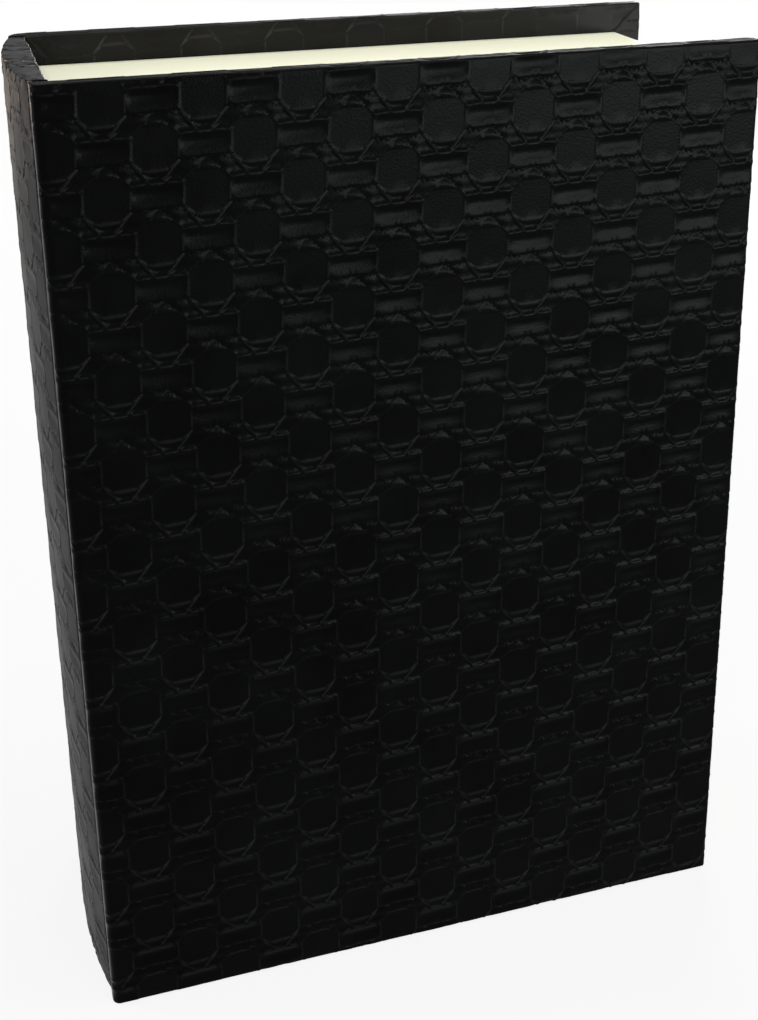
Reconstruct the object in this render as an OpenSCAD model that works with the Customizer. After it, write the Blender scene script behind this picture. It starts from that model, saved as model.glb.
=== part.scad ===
// Book-shaped box: a storage tray inside a hard case that looks like a closed book.
// The box stands on its tail edge. The front cover faces -Y, the spine is at -X.

/* [Case] */
// Height of the covers and the spine
cover_h = 270; // [200:1:340]
// Width of each cover, from its spine edge to its fore edge
cover_w = 192; // [150:1:250]
// Depth of the case over both covers
case_d = 80; // [55:1:110]
// Thickness of the boards inside the covers
board_t = 4; // [3.6:0.1:6]
// Thickness of the spine along its two edges, covering included
spine_t = 5; // [3.5:0.1:8]
// How far the middle of the spine stands proud of its edges
spine_crown = 3.8; // [1.5:0.1:5]

/* [Covering] */
// Thickness of the leather-look covering
skin_t = 0.75; // [0.5:0.05:1]
// Width of the covering where it is folded over onto the inner faces
turn_in = 18; // [12:0.5:30]
// Radius of the front cover's outer edge beside the spine
front_spine_r = 2.5; // [1.2:0.1:4]
// Radius of the back cover's outer edge beside the spine
back_spine_r = 4.5; // [1.2:0.1:4.5]
// Radius of both covers' outer edges at the fore edge
fore_r = 1.2; // [0.6:0.1:1.5]
// Width of the flexible strip that laps the front cover's edge
hinge_lap = 1.5; // [0.8:0.1:3]

/* [Page block] */
// How far the page block lies below the covers at the head and the tail
head_recess = 8.8; // [4:0.1:12]
// How far the page block lies behind the covers at the fore edge
fore_recess = 8.4; // [4:0.1:12]
// Thickness of the cream page strips
page_t = 0.4; // [0.2:0.1:1]
// Thickness of the card and strip that cover the rim of the tray
rim_t = 0.75; // [0.4:0.05:1.5]
// Gap between the closed cover's lining and the rim
rim_clear = 0.4; // [0.2:0.1:1.5]

/* [Tray] */
// Thickness of the four walls
wall_t = 9; // [7:0.5:12]
// Thickness of the floor
floor_t = 4; // [2.5:0.5:8]
// Thickness of the felt inside the tray
felt_t = 0.8; // [0.4:0.1:2]
// Thickness of the lining sheet inside the front cover
lining_t = 0.4; // [0.2:0.1:1]
// Width of the covering left showing round the lining sheet
lining_margin = 5; // [3:0.5:10]

/* [Magnets] */
// Diameter of the magnets
magnet_d = 6; // [4:0.5:6.5]
// Thickness of the magnets
magnet_t = 3; // [1.5:0.1:3.2]
// Distance between the two magnets of each side
magnet_pitch = 150; // [60:1:180]
// Radial clearance of a magnet in its hole, filled with glue
magnet_clear = 0.05; // [0.02:0.01:0.1]

/* [Hidden] */

// Resolution of the round edges, and of the broad curve of the spine
round_fn = 96;
spine_fn = 720;
// How far a cutting shape runs past the face that it cuts
past = 1;
// Least flat stretch left beside a rounded board edge
edge_flat = 0.25;
// Depth left under a magnet for glue
glue_gap = 0.1;

// Levels along Y, counted from the front cover's outer face
cover_t = board_t + 2 * skin_t;
board_in_y = skin_t + board_t;
rim_y = cover_t + lining_t + rim_clear;
wall_y = rim_y + rim_t;
back_y = case_d - cover_t;
floor_y = back_y - floor_t;

// Levels along X, counted from the covers' spine edge
spine_in_x = spine_t - skin_t;
wall_in_x = spine_t + wall_t;
block_x = cover_w - fore_recess;
wall_out_x = block_x - page_t;
fore_in_x = wall_out_x - wall_t;

// Levels along Z, counted from the tail
block_low_z = head_recess;
block_top_z = cover_h - head_recess;
wall_low_z = block_low_z + page_t;
wall_top_z = block_top_z - page_t;
room_low_z = wall_low_z + wall_t;
room_top_z = wall_top_z - wall_t;

// Spine curve: an arc through both spine edges, bulging by the crown
spine_chord = back_y - rim_y;
spine_r = (pow(spine_chord / 2, 2) + pow(spine_crown, 2)) / (2 * spine_crown);
spine_c = [spine_r - spine_crown, rim_y + spine_chord / 2];

// Outer radii of the covers beside the spine, limited by the board's thickness
front_r = min(front_spine_r, board_in_y - edge_flat);
back_r = min(back_spine_r, board_in_y - edge_flat);

// Magnet positions, on the middle line of the fore-edge wall
magnet_x = fore_in_x + wall_t / 2;
magnet_z = [cover_h / 2 - magnet_pitch / 2, cover_h / 2 + magnet_pitch / 2];
magnet_hole_r = magnet_d / 2 + magnet_clear;

// Colours
leather_black = "#17181A";
cloth_black = "#1D1C1F";
cream = "#EFEBD6";
board_brown = "#A98C66";
card_grey = "#8E8A80";
felt_black = "#202024";
magnet_grey = "#C6C8CC";

// Moves the case's own levels to the frame of the part
module place() {
    translate([(spine_crown - cover_w) / 2, -case_d / 2, 0])
        children();
}

// A plain block between two corners
module block(low, high) {
    translate(low)
        cube(high - low);
}

// Outline of a cover or its board, outer face at low y, with both outer edges rounded
module cover_outline(low, high, spine_side_r, fore_side_r) {
    difference() {
        translate(low)
            square(high - low);
        corner_waste(low, [1, 1], spine_side_r);
        corner_waste([high[0], low[1]], [-1, 1], fore_side_r);
    }
}

// What a rounded corner takes away from a square one
module corner_waste(corner, into, r) {
    translate(corner)
        mirror([into[0] < 0 ? 1 : 0, 0])
            difference() {
                translate([-past, -past])
                    square(r + past);
                translate([r, r])
                    circle(r, $fn = round_fn);
            }
}

// Board of a cover, in the front cover's place
module cover_board(spine_side_r) {
    translate([0, 0, skin_t])
        linear_extrude(cover_h - 2 * skin_t)
            difference() {
                translate([skin_t, skin_t])
                    square([cover_w - 2 * skin_t, board_t]);
                corner_waste([skin_t, skin_t], [1, 1], spine_side_r - skin_t);
            }
}

// Covering of a cover: outer face, four edges and the folded-over border inside
module cover_skin(spine_side_r) {
    difference() {
        linear_extrude(cover_h)
            cover_outline([0, 0], [cover_w, cover_t], spine_side_r, fore_r);
        cover_board(spine_side_r);
        block([skin_t, board_in_y, turn_in],
              [cover_w - turn_in, cover_t + past, cover_h - turn_in]);
    }
}

// Puts what is drawn in the front cover's place into the back cover's place
module to_back() {
    translate([0, case_d, 0])
        mirror([0, 1, 0])
            children();
}

// Area enclosed by the spine curve at a depth below its surface
module spine_area(depth, low_y, high_y, high_x) {
    intersection() {
        translate(spine_c)
            circle(spine_r - depth, $fn = spine_fn);
        translate([-spine_crown - past, low_y])
            square([high_x + spine_crown + past, high_y - low_y]);
    }
}

// A pair of discs or holes at the magnet positions, starting at a level along Y
module magnet_pair(r, low_y, length) {
    for (z = magnet_z)
        translate([magnet_x, low_y, z])
            rotate([-90, 0, 0])
                cylinder(r = r, h = length, $fn = round_fn);
}

// Board inside the front cover, with blind holes for two magnets
module front_board() {
    color(board_brown)
        place()
            difference() {
                cover_board(front_r);
                magnet_pair(magnet_hole_r, board_in_y - magnet_t - glue_gap, magnet_t + glue_gap + past);
            }
}

// Covering of the front cover, cut back where the flexible strip laps its edge
module front_leather() {
    color(leather_black)
        place()
            difference() {
                cover_skin(front_r);
                block([-past, cover_t - hinge_lap, -past], [skin_t, cover_t + past, cover_h + past]);
            }
}

// Card that levels the front board between the folded-over borders
module front_infill() {
    color(card_grey)
        place()
            block([turn_in, board_in_y, turn_in], [cover_w - turn_in, cover_t, cover_h - turn_in]);
}

// Inner hinge strip where it is glued to the front cover
module front_hinge_flap() {
    color(leather_black)
        place()
            block([skin_t, board_in_y, turn_in], [turn_in, cover_t, cover_h - turn_in]);
}

// Lining sheet over the whole inner face of the front cover
module front_lining() {
    color(cloth_black)
        place()
            block([lining_margin, cover_t, lining_margin],
                  [cover_w - lining_margin, cover_t + lining_t, cover_h - lining_margin]);
}

// Magnets in the front board, flush with its inner face
module cover_magnets() {
    color(magnet_grey)
        place()
            magnet_pair(magnet_d / 2, board_in_y - magnet_t, magnet_t);
}

// Flexible leather between the front cover and the spine, doubled by the inner strip
module hinge_leather() {
    color(leather_black)
        place() {
            block([0, cover_t - hinge_lap, 0], [skin_t, rim_y, cover_h]);
            block([skin_t, cover_t, skin_t], [2 * skin_t, rim_y, cover_h - skin_t]);
        }
}

// Rounded wooden strip inside the spine
module spine_strip() {
    color(board_brown)
        place()
            translate([0, 0, skin_t])
                linear_extrude(cover_h - 2 * skin_t)
                    spine_area(skin_t, wall_y, back_y, spine_in_x);
}

// Covering of the spine: outer curve, both ends and the folded-over borders
module spine_leather() {
    color(leather_black)
        place()
            difference() {
                linear_extrude(cover_h)
                    spine_area(0, rim_y, back_y, spine_t);
                translate([0, 0, skin_t])
                    linear_extrude(cover_h - 2 * skin_t)
                        spine_area(skin_t, rim_y - past, back_y + past, spine_in_x);
                block([spine_in_x, rim_y - past, turn_in],
                      [spine_t + past, back_y + past, cover_h - turn_in]);
                block([skin_t, rim_y - past, skin_t], [spine_t + past, wall_y, cover_h - skin_t]);
            }
}

// Card that levels the spine strip between the folded-over borders
module spine_infill() {
    color(card_grey)
        place()
            block([spine_in_x, wall_y, turn_in], [spine_t, back_y, cover_h - turn_in]);
}

// Inner hinge strip where it covers the spine's front edge and the spine wall's rim
module spine_hinge_flap() {
    color(leather_black)
        place() {
            translate([0, 0, skin_t])
                linear_extrude(cover_h - 2 * skin_t)
                    intersection() {
                        spine_area(skin_t, rim_y, wall_y, spine_t);
                        translate([skin_t, 0])
                            square([spine_t, case_d]);
                    }
            block([spine_t, rim_y, block_low_z], [wall_in_x, wall_y, block_top_z]);
        }
}

// Board inside the back cover
module back_board() {
    color(board_brown)
        place()
            to_back()
                cover_board(back_r);
}

// Covering of the back cover
module back_leather() {
    color(leather_black)
        place()
            to_back()
                cover_skin(back_r);
}

// Card that levels the back board between the folded-over borders
module back_infill() {
    color(card_grey)
        place()
            to_back()
                block([skin_t, board_in_y, turn_in], [cover_w - turn_in, cover_t, cover_h - turn_in]);
}

// Floor of the tray, glued to the back cover
module tray_floor() {
    color(board_brown)
        place()
            block([spine_t, floor_y, wall_low_z], [wall_out_x, back_y, wall_top_z]);
}

// Wall of the tray at the head
module head_wall() {
    color(board_brown)
        place()
            block([spine_t, wall_y, room_top_z], [wall_out_x, floor_y, wall_top_z]);
}

// Wall of the tray at the tail
module tail_wall() {
    color(board_brown)
        place()
            block([spine_t, wall_y, wall_low_z], [wall_out_x, floor_y, room_low_z]);
}

// Wall of the tray at the fore edge, with blind holes for two magnets
module fore_edge_wall() {
    color(board_brown)
        place()
            difference() {
                block([fore_in_x, wall_y, room_low_z], [wall_out_x, floor_y, room_top_z]);
                magnet_pair(magnet_hole_r, wall_y - past, magnet_t + glue_gap + past);
            }
}

// Wall of the tray beside the spine
module spine_wall() {
    color(board_brown)
        place()
            block([spine_t, wall_y, room_low_z], [wall_in_x, floor_y, room_top_z]);
}

// Cream strip that imitates the page edges at the head
module head_pages() {
    color(cream)
        place()
            block([spine_t, wall_y, wall_top_z], [block_x, back_y, block_top_z]);
}

// Cream strip that imitates the page edges at the tail
module tail_pages() {
    color(cream)
        place()
            block([spine_t, wall_y, block_low_z], [block_x, back_y, wall_low_z]);
}

// Cream strip that imitates the page edges at the fore edge
module fore_edge_pages() {
    color(cream)
        place()
            block([wall_out_x, wall_y, wall_low_z], [block_x, back_y, wall_top_z]);
}

// Cream card on the rim of the tray, on three sides
module rim_card() {
    color(cream)
        place()
            difference() {
                block([wall_in_x, rim_y, block_low_z], [block_x, wall_y, block_top_z]);
                block([wall_in_x - past, rim_y - past, room_low_z], [fore_in_x, wall_y + past, room_top_z]);
            }
}

// Felt on the floor of the tray
module floor_felt() {
    color(felt_black)
        place()
            block([wall_in_x, floor_y - felt_t, room_low_z], [fore_in_x, floor_y, room_top_z]);
}

// Felt on the head wall
module head_felt() {
    color(felt_black)
        place()
            block([wall_in_x, wall_y, room_top_z - felt_t], [fore_in_x, floor_y - felt_t, room_top_z]);
}

// Felt on the tail wall
module tail_felt() {
    color(felt_black)
        place()
            block([wall_in_x, wall_y, room_low_z], [fore_in_x, floor_y - felt_t, room_low_z + felt_t]);
}

// Felt on the fore-edge wall
module fore_edge_felt() {
    color(felt_black)
        place()
            block([fore_in_x - felt_t, wall_y, room_low_z + felt_t],
                  [fore_in_x, floor_y - felt_t, room_top_z - felt_t]);
}

// Felt on the spine wall
module spine_felt() {
    color(felt_black)
        place()
            block([wall_in_x, wall_y, room_low_z + felt_t],
                  [wall_in_x + felt_t, floor_y - felt_t, room_top_z - felt_t]);
}

// Magnets in the fore-edge wall, flush with its front edge
module tray_magnets() {
    color(magnet_grey)
        place()
            magnet_pair(magnet_d / 2, wall_y, magnet_t);
}

front_board();
front_leather();
front_infill();
front_hinge_flap();
front_lining();
cover_magnets();
hinge_leather();
spine_strip();
spine_leather();
spine_infill();
spine_hinge_flap();
back_board();
back_leather();
back_infill();
tray_floor();
head_wall();
tail_wall();
fore_edge_wall();
spine_wall();
head_pages();
tail_pages();
fore_edge_pages();
rim_card();
floor_felt();
head_felt();
tail_felt();
fore_edge_felt();
spine_felt();
tray_magnets();
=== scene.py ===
import math

import bmesh
import bpy
import numpy as np
from mathutils import Matrix, Vector
from mathutils.geometry import delaunay_2d_cdt


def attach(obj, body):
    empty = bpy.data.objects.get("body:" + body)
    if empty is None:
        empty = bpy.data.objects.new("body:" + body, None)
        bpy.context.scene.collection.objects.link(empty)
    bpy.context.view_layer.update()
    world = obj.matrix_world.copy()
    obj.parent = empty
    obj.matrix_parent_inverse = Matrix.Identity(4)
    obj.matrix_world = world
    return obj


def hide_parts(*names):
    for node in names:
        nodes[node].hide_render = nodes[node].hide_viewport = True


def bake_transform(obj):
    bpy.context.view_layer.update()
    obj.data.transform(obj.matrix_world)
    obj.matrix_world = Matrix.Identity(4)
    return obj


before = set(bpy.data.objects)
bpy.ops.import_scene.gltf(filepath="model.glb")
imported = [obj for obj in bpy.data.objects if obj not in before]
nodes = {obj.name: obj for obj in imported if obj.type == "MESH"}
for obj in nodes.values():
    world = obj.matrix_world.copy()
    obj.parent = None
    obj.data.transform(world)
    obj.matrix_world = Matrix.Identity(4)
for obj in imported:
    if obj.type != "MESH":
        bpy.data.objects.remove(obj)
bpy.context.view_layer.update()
scene = bpy.context.scene

# Sizes in millimetres. x runs from the covers' spine edge, y from the front cover's outer face and
# z from the tail.
ORIGIN = np.array([-94.1, -40.0, 0.0])
COVER_W, COVER_H, COVER_T = 192.0, 270.0, 5.5
RIM_Y, BACK_Y = 6.3, 74.5  # the tray's rim, and the inner face of the back cover
TURN_IN = 18.0  # width of the borders that are folded over inside
HEAD_R = 0.8  # rounding of the covering over the head and tail edges
FORE_R = 1.2  # rounding along the fore edges
FRONT_SPINE_R = 2.5  # front cover's outer edge beside the spine
BACK_SPINE_R = 4.5  # back cover's outer edge beside the spine
SPINE_X = 5.0  # inner face of the spine
SPINE_R = 154.9022  # the spine's outer face is an arc in plan, with this radius
SPINE_C = np.array([151.1022, 40.4])
QUARTER = math.pi / 2
HEAD_Z = COVER_H - HEAD_R  # the covering begins to turn over the head edge here
FOLD = HEAD_R * QUARTER  # length of its turn over the head or the tail edge

# The embossed pattern. Pattern coordinates have the centre of an octagon at 0, 0 and y upwards.
PITCH, ROW = 24.6, 11.8  # each second row is moved by half a pitch
RELIEF = 0.6  # from the pattern's lowest level to its highest
DEPTH = RELIEF / 0.44
PRESSED = 0.6  # how much flatter it is where the covering is glued down inside
EDGE_SOFT = 0.6  # and where it turns over an edge
SPINE_DEPTH = 0.5  # its depth on the spine, where the covering is stretched
SOFTENED = 0.45  # reach of the smoothing between a rectangle and the octagon below
LINE = 0.15  # half width of a raised line's wear and painted highlight
OCT_X, OCT_Y = 5.6, 5.45  # an octagon's half width and half height
OCT_TOP, OCT_SIDE = 3.1, 3.5  # half lengths of its level and its upright sides
RECT_X = 6.4  # half width of the hollow rectangles
RECT_TOP, RECT_LOW = 3.05, -3.0
STRAP_Y, STRAP_LONG = -3.35, 4.6  # top and height of the slanted strips under a rectangle
ROOF_Y, ROOF_LONG = -3.3, 2.6  # top and height of the raised triangle between them
LIP_X, LIP_Y = 2.7, -5.95  # the lip under an octagon: half length and place
RIDGE = (5.75, -3.5, 2.1, -8.1)  # ends of the ridge from an octagon's lower corner

# The sheet that the pattern is laid on: s runs across the front cover, t up from the tail.
PATTERN_AT = (28.13, 252.55)  # an octagon's centre lies here
MARGIN = 8.0  # the pattern is laid this much wider than the sheet
SNAP = 0.02  # points this near to a cut are moved onto it
SKIRT = 0.55  # a covering's open borders are folded inwards by this
SEAM = 1.3  # the pattern fades over this distance towards a seam
RUN_UP = 5.0  # length of flat sheet before the turn over the head edge
ARC_STEPS, FOLD_STEPS = 5, 4  # cuts across a quarter turn

# Levels of the plain covering, over the pattern's lowest level
FACE_LEVEL, SPINE_LEVEL, JOINT_LEVEL = .16, .24, .32
EDGE_LIFT = .14  # and how much higher it is on an edge

# A covering's materials
OUTSIDE, INSIDE, AT_EDGE = 0, 1, 2

# The tray and its lining
PAGE_T, RIM_T, FELT_T = .4, .75, .8
BLOCK_X, BLOCK_LOW, BLOCK_TOP = 183.6, 8.8, 261.2  # the page block's outer faces
IN_X0, IN_X1, IN_Z0, IN_Z1 = 14.0, 174.2, 18.2, 251.8  # the tray's inner faces
FLOOR_Y = 70.5
LAP = .3  # how far the rim's card reaches over the felt


def metres(points):
    """Case coordinates in millimetres to the frame's metres."""
    return (np.asarray(points, float) + ORIGIN) / 1000


def ease(t):
    t = np.clip(t, 0, 1)
    return t * t * (3 - 2 * t)


def over(value):
    return np.clip(value, 0, None)


def crest(distance):
    """Near 1 on a raised line, 0 a little beside it."""
    return np.exp(-(distance / LINE) ** 2)


def octagon(ax, ay):
    """Distance from an octagon's outline, negative inside, at offsets without their signs."""
    cut_x, cut_y = OCT_X - OCT_TOP, OCT_Y - OCT_SIDE
    corner = (cut_y * (ax - OCT_X) + cut_x * (ay - OCT_SIDE)) / math.hypot(cut_x, cut_y)
    return np.maximum(np.maximum(ax - OCT_X, ay - OCT_Y), corner)


# Each of the pattern's shapes gives its height, and its wear and painted highlight
def pad(x, y):
    """Flat octagon with a thin raised rim, whose wear and painted highlight are strongest towards the lower
    right.
    """
    d = octagon(np.abs(x), np.abs(y)) - .12
    rim = np.where(d < 0, np.exp(-(d / .2) ** 2), 1)
    # painted highlight with some wear on the rim, stronger towards the bottom and the right
    wear_and_painted_highlight = crest(d) * (.14 + .5 * ease((3.0 - y) / 5) * (.5 + .5 * ease((x + 2) / 6)))
    return .22 + .11 * rim - over(d) * 1.1, wear_and_painted_highlight


def scoop(x, y):
    """Hollow rectangle between two octagons of a row."""
    ax = np.abs(x)
    bow = 1 - .5 * (ax / RECT_X) ** 2
    drop = 1 - ease((3.0 - y) / 1.7) * bow
    rise = ease((1.2 - y) / 4.0) ** 1.2 * bow
    h = .44 * np.clip(drop + .85 * rise, 0, 1)
    h = np.maximum(h, .34 - .5 * np.abs(ax - (RECT_X - .1)))
    h = h - over(ax - RECT_X) * 1.2 - over(RECT_LOW - y) * 1.6 - over(y - RECT_TOP) * .46
    # painted highlight with some wear along the rectangle's top edge
    return h, .55 * crest(y - RECT_TOP)


def strap_edges(t, right):
    """Inner and outer edge of a slanted strip, at the share t of its height."""
    return np.where(right, 1.15, .85) + 4.3 * t, 6.15 + 3.9 * t


def strap(x, y):
    """Two slanted strips under each rectangle."""
    ax = np.abs(x)
    t = (STRAP_Y - y) / STRAP_LONG
    inner, outer = strap_edges(t, x > 0)
    s = (ax - inner) / (outer - inner)
    h = .2 + .2 * ease(t / .3) - .2 * ease((t - .3) / .7)
    h = h - .3 * ease((s - .3) / .8) * (.4 + .6 * t)
    side = np.maximum((inner - ax) * np.where(x > 0, 1, .5), ax - outer) * .77
    return h - over(np.maximum(side, np.maximum(-t, t - 1) * STRAP_LONG)) * 1.3, np.zeros_like(x)


def roof(x, y):
    """Small raised triangle on top of each octagon."""
    t = (ROOF_Y - y) / ROOF_LONG
    h = .46 * np.clip(t, 0, 1) ** .8
    side = np.abs(x) - 2.9 * np.clip(t, 0, 1) + .1
    h = h - over(np.maximum(side, np.maximum(-t, t - 1) * ROOF_LONG)) * .9
    return h, .12 * crest(t * ROOF_LONG - 2.55)


def ridge(x, y, hand):
    """Ridge from an octagon's lower corner to the row below: the right one stands out more, in height and in
    its painted highlight.
    """
    x = x * hand
    x0, y0, x1, y1 = RIDGE
    vx, vy = x1 - x0, y1 - y0
    length = math.hypot(vx, vy)
    t = np.clip(((x - x0) * vx + (y - y0) * vy) / length ** 2, 0, 1)
    d = np.hypot(x - x0 - t * vx, y - y0 - t * vy)
    inside = (x - x0) * vy - (y - y0) * vx > 0
    # the right ridge gets the stronger painted highlight, the side that catches the light
    top, wear_and_painted_highlight = (.40, 1) if hand > 0 else (.34, .4)
    return top - over(d - .05) * np.where(inside, .5, 1.3), crest(d) * wear_and_painted_highlight


def lip(x, y):
    """Thin raised line below each octagon."""
    d = np.hypot(over(np.abs(x) - LIP_X), y - LIP_Y)
    return .36 - over(d - .05) * np.where(y > LIP_Y, .5, .75), .5 * crest(d)


def in_row(x, y, k):
    """Offsets from the nearest octagon and rectangle, k rows below the nearest row: x, x and y."""
    row = np.floor(-y / ROW + .5) + k
    x = x - row % 2 * PITCH / 2
    return (x + PITCH / 2) % PITCH - PITCH / 2, x % PITCH - PITCH / 2, y + row * ROW


def raised(x, y):
    """Highest of all the shapes at pattern coordinates, with its wear and painted highlight there."""
    high, wear_and_painted_highlight = np.zeros_like(x), np.zeros_like(x)
    for k in (-1, 0, 1):
        xo, xr, yy = in_row(x, y, k)
        for h, w in (pad(xo, yy), scoop(xr, yy), strap(xr, yy), roof(xr, yy),
                     ridge(xo, yy, 1), ridge(xo, yy, -1), lip(xo, yy)):
            wear_and_painted_highlight = np.where(h > high, w, wear_and_painted_highlight)
            high = np.maximum(high, h)
    return high, wear_and_painted_highlight


def between(x, y):
    """1 between a rectangle and the octagon under it, and 0 elsewhere."""
    share = np.zeros_like(x)
    for k in (-1, 0):
        _, xr, yy = in_row(x, y, k)
        ax = np.abs(xr)
        d = octagon(ax, yy + ROW)
        here = ease((5.9 - ax) / .8) * ease((-3.2 - yy) / .4) * ease((d - .3) / .4)
        share = np.maximum(share, here)
    return share


def relief(x, y):
    """Height of the embossing over its lowest level, and the wear and painted highlight of its raised lines.
    """
    high, wear_and_painted_highlight = raised(x, y)
    share = between(x, y)
    near = share > 0
    soft = np.zeros(near.sum())
    for a in np.arange(8) * QUARTER / 2:
        soft += raised(x[near] + SOFTENED * math.cos(a), y[near] + SOFTENED * math.sin(a))[0] / 8
    high[near] += share[near] * (soft - high[near])
    return high * DEPTH, wear_and_painted_highlight


def feature_lines():
    """Lines of one repeat along which the relief breaks.

    Each has its two ends, the spacing of its points, and the sideways offsets that get points too.
    """
    half = PITCH / 2
    lines = []

    def add(x0, y0, x1, y1, spacing, *offsets):
        lines.append((x0, y0, x1, y1, spacing, offsets or (0,)))

    ring = [(OCT_X, OCT_SIDE), (OCT_TOP, OCT_Y), (-OCT_TOP, OCT_Y), (-OCT_X, OCT_SIDE)]
    ring += [(-x, -y) for x, y in ring]
    for k in range(8):
        add(*ring[k], *ring[(k + 1) % 8], 1.15, -.5, -.26, .12, .42)
    for y, *offsets in ((RECT_TOP, -.3, 0, .22), (2.5,), (1.95,), (1.4,), (.2,), (-1.0,), (-2.0,),
                        (-2.6,), (-3.02, -.2, 0, .22), (-3.42,)):
        add(half - 6.2, y, half + 6.2, y, 1.5, *offsets)
    for hand in (-1, 1):
        (top_in, low_in), (top_out, low_out) = zip(*(strap_edges(t, hand > 0) for t in (0, 1)))
        top, low = STRAP_Y - .05, STRAP_Y - STRAP_LONG
        add(half + hand * 5.75, 2.6, half + hand * 5.75, -2.6, 1.3)
        add(half + hand * top_in, top, half + hand * low_in, low, 1.0, -.18, .12)
        add(half + hand * top_out, top, half + hand * low_out, low, 1.0, -.12, .15)
        for t in (.1, .2, .32, .6):
            inner, outer = strap_edges(t, hand > 0)
            y = STRAP_Y - STRAP_LONG * t
            add(half + hand * (inner + .4), y, half + hand * (outer - .4), y, 1.1)
        add(half, -3.35, half + hand * 2.9, -5.9, .8, -.1, .15)
        add(half + hand * .1, -4.0, half + hand * 1.8, -5.5, .8)
        add(hand * 5.6, -3.7, hand * 2.1, -8.1, .9, -.35, 0, .3)
    add(half - 2.7, -5.9, half + 2.7, -5.9, .9, -.15, .2)
    for y in (-3.8, -4.4, -5.1):
        add(half - 1.6, y, half + 1.6, y, .8)
    add(-2.9, LIP_Y, 2.9, LIP_Y, .9, -.4, 0, .35)
    add(-2.4, -7.6, 2.4, -7.6, .9)
    return lines


def triangulate(points, outlines, kind, near):
    """Triangles between points in a plane, as indices into them."""
    found = delaunay_2d_cdt([Vector(p) for p in points], [], outlines, kind, near)
    return [[found[3][v][0] for v in face] for face in found[2]]


def repeat_mesh():
    """Points and triangles of one repeat, and its two steps.

    A triangle's corner is (steps along the row, steps down the rows, point).
    """
    rng = np.random.default_rng(7)
    found = []
    for x0, y0, x1, y1, spacing, offsets in feature_lines():
        length = math.hypot(x1 - x0, y1 - y0)
        nx, ny = (y1 - y0) / length, (x0 - x1) / length
        count = max(2, round(length / spacing) + 1)
        for offset in offsets:
            for t in np.linspace(0, 1, count):
                found.append((x0 + t * (x1 - x0) + offset * nx, y0 + t * (y1 - y0) + offset * ny))
    across, down = 20, 10
    fill = [(-PITCH / 2 + (c + .5 * (r % 2)) * PITCH / across, ROW * (r / down - .5))
            for r in range(down) for c in range(across)]
    step = np.array([[PITCH, 0], [PITCH / 2, -ROW]])

    def fold(points):
        """Moves points by whole steps into the repeat around 0, 0."""
        points = np.array(points)
        j = np.floor(-points[:, 1] / ROW + .5)
        points = points - j[:, None] * step[1]
        i = np.floor(points[:, 0] / PITCH + .5)
        return points - i[:, None] * step[0]

    around = [i * step[0] + j * step[1] for i in (-1, 0, 1) for j in (-1, 0, 1)]
    kept = np.zeros((0, 2))
    # the octagons are flat inside and need few points there
    for points, least, least_in_octagon in ((fold(found), .17, .17), (fold(fill), .62, 1.7)):
        for p in points:
            near = np.min([np.hypot(*(kept + a - p).T).min() if len(kept) else 9 for a in around])
            if near > (least_in_octagon if np.abs(p).max() < 4.6 else least):
                kept = np.vstack([kept, p])
    kept += rng.uniform(-.01, .01, kept.shape)
    steps = [(i, j) for i in range(-2, 3) for j in range(-1, 2)]
    cloud = np.vstack([kept + i * step[0] + j * step[1] for i, j in steps])
    tris = []
    for ids in triangulate(cloud, [], 0, 1e-7):
        x, y = cloud[ids].mean(0)
        j = math.floor(-y / ROW + .5)
        i = math.floor((x - j * PITCH / 2) / PITCH + .5)
        if i == 0 and j == 0:
            a, b, c = cloud[ids]
            if (b[0] - a[0]) * (c[1] - a[1]) - (b[1] - a[1]) * (c[0] - a[0]) < 0:
                ids = ids[::-1]
            tris.append([(*steps[n // len(kept)], n % len(kept)) for n in ids])
    return kept, np.array(tris), step


REPEAT = repeat_mesh()


def lay(pattern):
    """Pattern coordinates to the sheet's s and t, a little turned and twisted as in the photo."""
    x, y = pattern[:, 0], pattern[:, 1]
    s = .9978 * x + .0106 * y + PATTERN_AT[0]
    t = .0301 * x + 1.0047 * y + PATTERN_AT[1]
    twist = np.clip((s - 96) / 96, -1, 1) * np.clip((t - 135) / 135, -1.2, 1.2)
    return np.stack([s, t - .5 * twist], 1)


def sheet(s_low, s_high, t_low, t_high):
    """The pattern's mesh over a part of the sheet: rows of s, t and the two pattern coordinates."""
    points, tris, step = REPEAT
    i_step, j_step, corner = tris[:, :, 0], tris[:, :, 1], tris[:, :, 2]
    x_low, x_high = s_low - PATTERN_AT[0] - MARGIN, s_high - PATTERN_AT[0] + MARGIN
    j_low, j_high = int((PATTERN_AT[1] - t_high) / ROW) - 2, int((PATTERN_AT[1] - t_low) / ROW) + 2
    i_low = int((x_low - j_high * PITCH / 2) / PITCH) - 2
    i_high = int((x_high - j_low * PITCH / 2) / PITCH) + 2
    # the triangles' corners reach two steps further than the triangles' own repeats
    ii, jj = np.mgrid[i_low - 2:i_high + 3, j_low - 2:j_high + 3]
    pattern = ii[:, :, None, None] * step[0] + jj[:, :, None, None] * step[1] + points
    pattern = pattern.reshape(-1, 2)
    cell = np.arange(ii.size).reshape(ii.shape)[2:-2, 2:-2].reshape(-1, 1, 1)
    cell = cell + i_step * ii.shape[1] + j_step
    faces = (cell * len(points) + corner).reshape(-1, 3)
    rows = np.hstack([lay(pattern), pattern])
    s, t = rows[:, 0][faces], rows[:, 1][faces]
    inside = (s.max(1) > s_low) & (s.min(1) < s_high) & (t.max(1) > t_low) & (t.min(1) < t_high)
    return compact(rows, faces[inside])


def compact(rows, faces):
    """Drops the rows that no face uses."""
    used, index = np.unique(faces, return_inverse=True)
    return rows[used], index.reshape(faces.shape)


def sides(faces):
    """All the triangles' sides: the first ones, then the second and the third ones."""
    return np.concatenate([faces[:, [0, 1]], faces[:, [1, 2]], faces[:, [2, 0]]])


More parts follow.
